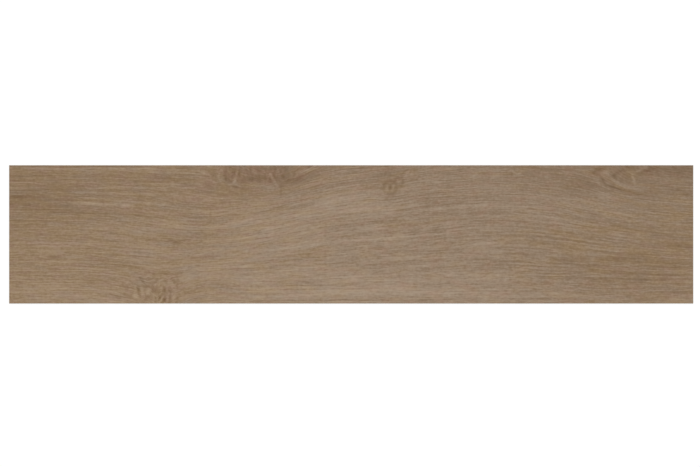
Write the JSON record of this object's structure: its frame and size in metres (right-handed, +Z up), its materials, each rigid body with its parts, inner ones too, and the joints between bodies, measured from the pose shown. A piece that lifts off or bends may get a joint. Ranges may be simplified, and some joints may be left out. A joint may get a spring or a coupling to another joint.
{
  "type": "vinyl floor plank",
  "caption": "Thin rectangular glue-down vinyl floor plank with a printed, embossed oak wear face and a fine bevel round its square-cut, butt-jointed edges.",
  "frame": {"origin": "centre of the underside, the face that is glued down", "axes": "+X along the length and the printed grain, +Y across the width, +Z up out of the wear face"},
  "size_m": [0.915, 0.185, 0.0025],
  "materials": {
    "printed_vinyl": "matte"
  },
  "bodies": {
    "root": {"plank": "printed_vinyl"}
  },
  "joints": []
}
